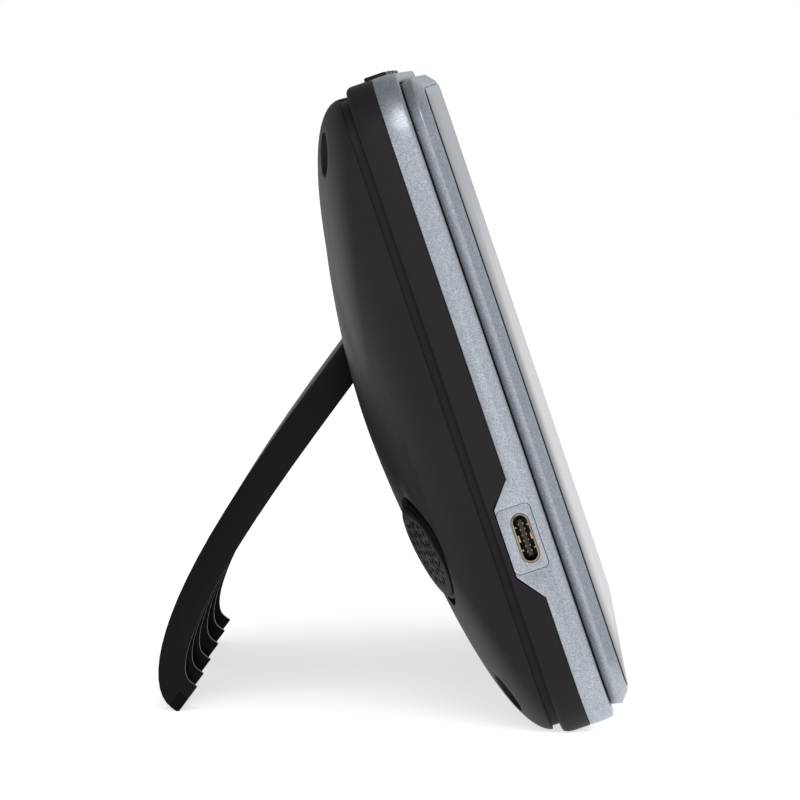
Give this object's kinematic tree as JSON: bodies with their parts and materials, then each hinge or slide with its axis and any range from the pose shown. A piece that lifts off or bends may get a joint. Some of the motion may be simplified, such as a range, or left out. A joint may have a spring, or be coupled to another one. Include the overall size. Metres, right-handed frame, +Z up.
{
  "type": "digital photo frame",
  "caption": "Tabletop digital picture frame with a leaning screen housing, a domed rear cover, a fold-out stand, push keys on its top edge and a charging socket in its side.",
  "frame": {"origin": "on the table, under the middle of the whole object's box with the stand folded out", "axes": "+X along the width of the screen, -Y the side that the screen faces, +Z up"},
  "size_m": [0.188, 0.0852, 0.1163],
  "materials": {
    "cover_plastic": "fine spark-eroded matt",
    "band_paint": "fine metallic silver lacquer",
    "screen_glass": "polished cover glass over a black border",
    "gasket_foam": "black foam tape",
    "panel_glass": "liquid crystal panel, off",
    "chassis_steel": "plain sheet",
    "ribbon_film": "polyimide film",
    "board_laminate": "solder mask",
    "shield_steel": "tinned sheet",
    "chip_epoxy": "moulded epoxy",
    "radio_cover": "solder mask",
    "pouch_foil": "laminated foil pouch",
    "socket_steel": "nickel-plated",
    "socket_core": "moulded",
    "insert_paint": "fine metallic silver lacquer",
    "grille_plastic": "fine matt",
    "driver_metal": "pressed",
    "key_plastic": "satin",
    "switch_body": "moulded",
    "stand_plastic": "satin",
    "foot_rubber": "matt rubber",
    "hinge_steel": "ground",
    "screw_steel": "black zinc"
  },
  "bodies": {
    "housing": {"rear_cover": "cover_plastic", "mid_frame": "band_paint", "front_bezel": "band_paint", "front_lens": "screen_glass", "lens_gasket": "gasket_foam", "lcd_panel": "panel_glass", "lcd_backlight": "chassis_steel", "lcd_flex_cable": "ribbon_film", "main_board": "board_laminate", "processor_shield": "shield_steel", "memory_chips": "chip_epoxy", "radio_module": "radio_cover", "battery_pack": "pouch_foil", "usb_socket_shell": "socket_steel", "usb_socket_tongue": "socket_core", "usb_port_insert": "insert_paint", "speaker_grille": "grille_plastic", "speaker_driver": "driver_metal", "speaker_gasket": "gasket_foam", "key_board": "board_laminate", "key_switches": "switch_body", "hinge_pin": "hinge_steel", "hinge_brackets": "hinge_steel", "friction_washers": "hinge_steel", "bracket_screws": "screw_steel", "case_screws": "screw_steel", "board_screws": "screw_steel"},
    "key_1": {"key_1": "key_plastic"},
    "key_2": {"key_2": "key_plastic"},
    "key_3": {"key_3": "key_plastic"},
    "key_4": {"key_4": "key_plastic"},
    "stand": {"kickstand_leg": "stand_plastic", "leg_foot_pad": "foot_rubber"}
  },
  "joints": [
    {"name": "stand_hinge", "type": "hinge", "parent": "housing", "child": "stand", "pos_m": [0, 0.00413, 0.06624], "axis": [-1, 0, 0], "range_deg": [0, 55.3]},
    {"name": "key_1_press", "type": "slide", "parent": "housing", "child": "key_1", "axis": [0, -0.3223, -0.9466], "range_m": [0, 0.00055], "stiffness_N_per_m": 600},
    {"name": "key_2_press", "type": "slide", "parent": "housing", "child": "key_2", "axis": [0, -0.3223, -0.9466], "range_m": [0, 0.00055], "stiffness_N_per_m": 600},
    {"name": "key_3_press", "type": "slide", "parent": "housing", "child": "key_3", "axis": [0, -0.3223, -0.9466], "range_m": [0, 0.00055], "stiffness_N_per_m": 600},
    {"name": "key_4_press", "type": "slide", "parent": "housing", "child": "key_4", "axis": [0, -0.3223, -0.9466], "range_m": [0, 0.00055], "stiffness_N_per_m": 600}
  ]
}
